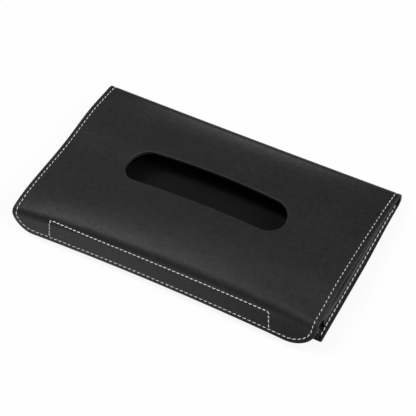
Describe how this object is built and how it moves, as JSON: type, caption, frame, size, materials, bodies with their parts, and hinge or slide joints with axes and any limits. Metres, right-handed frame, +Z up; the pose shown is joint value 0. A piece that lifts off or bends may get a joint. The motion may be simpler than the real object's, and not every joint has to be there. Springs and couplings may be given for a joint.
{
  "type": "car tissue holder",
  "caption": "Flat black leather tissue case for a car's sun visor: wrap-around cover with a long tissue slot in its lid, a magnetic front flap, low side walls and elastic bands behind.",
  "frame": {"origin": "middle of the closed case's space on the surface it lies on", "axes": "+X along the case's long side, +Y to the spine, +Z up out of the lid"},
  "size_m": [0.23, 0.1322, 0.0285],
  "materials": {
    "leather": "smooth black synthetic leather with a very fine grain and a soft satin sheen",
    "lining": "thin matt black lining sheet",
    "stiffener": "grey-brown bookbinder's board",
    "thread": "off-white polyester sewing thread",
    "elastic": "black ribbed woven elastic",
    "magnet": "plain nickel-plated bar magnet"
  },
  "bodies": {
    "base": {"back_cover": "leather", "back_board": "stiffener", "back_lining": "lining", "band_tacks": "thread", "base_seam": "thread", "elastic_band_left": "elastic", "elastic_band_right": "elastic", "front_wall": "leather", "front_wall_board": "stiffener", "wall_magnets": "magnet", "left_side_board": "stiffener", "left_side_wall": "leather", "right_side_board": "stiffener", "right_side_wall": "leather", "spine_cover": "leather", "spine_lining": "lining", "spine_seams": "thread"},
    "lid": {"lid_cover": "leather", "lid_board": "stiffener", "lid_lining": "lining", "lid_seams": "thread", "bend_cover": "leather", "bend_lining": "lining", "bend_seams": "thread"},
    "flap": {"flap_cover": "leather", "flap_board": "stiffener", "flap_lining": "lining", "flap_edge_seam": "thread", "flap_panel_seam": "thread", "magnet_panel": "lining", "flap_magnets": "magnet"}
  },
  "joints": [
    {"name": "lid_hinge", "type": "hinge", "parent": "base", "child": "lid", "pos_m": [0, 0.06581, 0.00655], "axis": [-1, 0, 0], "range_deg": [0, 165], "deforming": ["spine_cover", "spine_lining", "spine_seams"]},
    {"name": "flap_hinge", "type": "hinge", "parent": "lid", "child": "flap", "pos_m": [0, -0.0599, 0.02507], "axis": [-1, 0, 0], "range_deg": [0, 90], "deforming": ["bend_cover", "bend_lining", "bend_seams"]}
  ]
}
